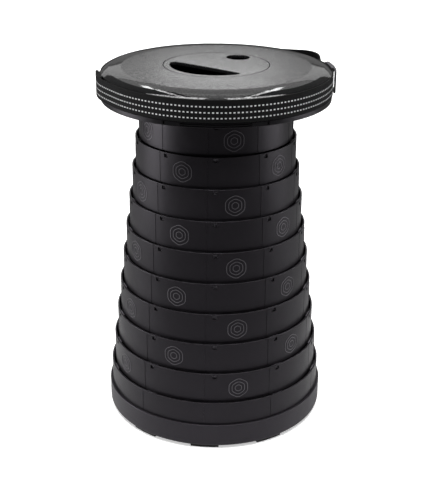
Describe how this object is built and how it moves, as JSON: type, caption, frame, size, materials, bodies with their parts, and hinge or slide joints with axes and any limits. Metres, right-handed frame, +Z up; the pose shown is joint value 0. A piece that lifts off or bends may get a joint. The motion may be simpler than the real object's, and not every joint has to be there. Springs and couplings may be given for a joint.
{
  "type": "collapsible telescopic stool",
  "caption": "Round stool whose nested plastic rings slide up out of a cup base to carry a domed seat, with a webbing carrying strap round the seat's rim.",
  "frame": {"origin": "on the floor under the middle of the base", "axes": "+Z up along the rings' common axis, -Y towards the front, +X to the right where the strap's slider is"},
  "size_m": [0.2591, 0.252, 0.4062],
  "materials": {
    "ring_plastic": "satin black moulded plastic",
    "base_plastic": "fine matt charcoal moulded plastic",
    "seat_plastic": "fine grained top with a smooth glossy rounded edge",
    "tray_plastic": "satin black moulded plastic",
    "foot_rubber": "matt black rubber",
    "screw_steel": "zinc plated steel",
    "strap_webbing": "black woven webbing with three rows of silver dashes",
    "slider_plastic": "satin dark grey moulded plastic"
  },
  "bodies": {
    "base": {"base_cup": "base_plastic", "foot_pads": "foot_rubber", "ring_10": "ring_plastic"},
    "ring_9": {"ring_9": "ring_plastic"},
    "ring_8": {"ring_8": "ring_plastic"},
    "ring_7": {"ring_7": "ring_plastic"},
    "ring_6": {"ring_6": "ring_plastic"},
    "ring_5": {"ring_5": "ring_plastic"},
    "ring_4": {"ring_4": "ring_plastic"},
    "ring_3": {"ring_3": "ring_plastic"},
    "ring_2": {"ring_2": "ring_plastic"},
    "ring_1": {"ring_1": "ring_plastic"},
    "seat": {"seat_ring": "ring_plastic", "seat_tray": "tray_plastic", "seat_shell": "seat_plastic", "centre_disc": "seat_plastic", "seat_screws": "screw_steel", "carry_strap": "strap_webbing", "strap_slider": "slider_plastic"}
  },
  "joints": [
    {"name": "ring_9_slide", "type": "slide", "parent": "base", "child": "ring_9", "axis": [0, 0, 1], "range_m": [-0.034, 0]},
    {"name": "ring_8_slide", "type": "slide", "parent": "ring_9", "child": "ring_8", "axis": [0, 0, 1], "range_m": [-0.034, 0]},
    {"name": "ring_7_slide", "type": "slide", "parent": "ring_8", "child": "ring_7", "axis": [0, 0, 1], "range_m": [-0.034, 0]},
    {"name": "ring_6_slide", "type": "slide", "parent": "ring_7", "child": "ring_6", "axis": [0, 0, 1], "range_m": [-0.034, 0]},
    {"name": "ring_5_slide", "type": "slide", "parent": "ring_6", "child": "ring_5", "axis": [0, 0, 1], "range_m": [-0.034, 0]},
    {"name": "ring_4_slide", "type": "slide", "parent": "ring_5", "child": "ring_4", "axis": [0, 0, 1], "range_m": [-0.034, 0]},
    {"name": "ring_3_slide", "type": "slide", "parent": "ring_4", "child": "ring_3", "axis": [0, 0, 1], "range_m": [-0.034, 0]},
    {"name": "ring_2_slide", "type": "slide", "parent": "ring_3", "child": "ring_2", "axis": [0, 0, 1], "range_m": [-0.034, 0]},
    {"name": "ring_1_slide", "type": "slide", "parent": "ring_2", "child": "ring_1", "axis": [0, 0, 1], "range_m": [-0.034, 0]},
    {"name": "seat_slide", "type": "slide", "parent": "ring_1", "child": "seat", "axis": [0, 0, 1], "range_m": [-0.034, 0]}
  ]
}
